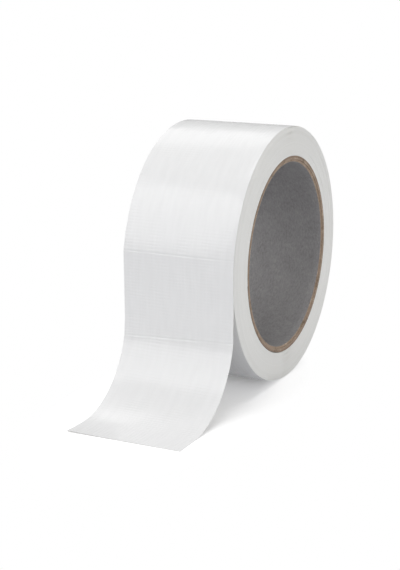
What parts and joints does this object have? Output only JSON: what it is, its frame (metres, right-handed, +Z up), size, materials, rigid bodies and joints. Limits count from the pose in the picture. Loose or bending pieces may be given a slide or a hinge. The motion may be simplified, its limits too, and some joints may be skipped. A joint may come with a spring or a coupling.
{
  "type": "roll of repair tape",
  "caption": "Roll of white cloth repair tape wound on a paper core, standing on its rim, with its free end peeled off the front down to the floor.",
  "frame": {"origin": "centre of the core's bore, half way along the roll's axis", "axes": "+X along the roll's axis towards the face seen at the right of the picture, -Y towards the free end, +Z up"},
  "size_m": [0.0482, 0.1494, 0.1055],
  "materials": {
    "liner_paper": "matte",
    "kraft_board": "matte",
    "film": "satin, embossed by the weave",
    "scrim": "woven",
    "adhesive": "tacky"
  },
  "bodies": {
    "roll": {"core_liner": "liner_paper", "core_inner_ply": "kraft_board", "core_middle_ply": "kraft_board", "core_outer_ply": "kraft_board", "wound_film": "film", "wound_scrim": "scrim", "wound_adhesive": "adhesive"},
    "tail_upper": {"tail_upper_film": "film", "tail_upper_scrim": "scrim", "tail_upper_adhesive": "adhesive"},
    "tail_middle": {"tail_middle_film": "film", "tail_middle_scrim": "scrim", "tail_middle_adhesive": "adhesive"},
    "tail_lower": {"tail_lower_film": "film", "tail_lower_scrim": "scrim", "tail_lower_adhesive": "adhesive"}
  },
  "joints": [
    {"name": "tail_peel", "type": "hinge", "parent": "roll", "child": "tail_upper", "pos_m": [0, -0.05251, -0.00586], "axis": [-1, 0, 0], "range_deg": [0, 90], "stiffness_Nm_per_rad": 0.003},
    {"name": "tail_crease", "type": "hinge", "parent": "tail_upper", "child": "tail_middle", "pos_m": [0, -0.0533, -0.02517], "axis": [-1, 0, 0], "range_deg": [-30, 30], "stiffness_Nm_per_rad": 0.003},
    {"name": "tail_curl", "type": "hinge", "parent": "tail_middle", "child": "tail_lower", "pos_m": [0, -0.06513, -0.04482], "axis": [-1, 0, 0], "range_deg": [-40, 40], "stiffness_Nm_per_rad": 0.003}
  ]
}
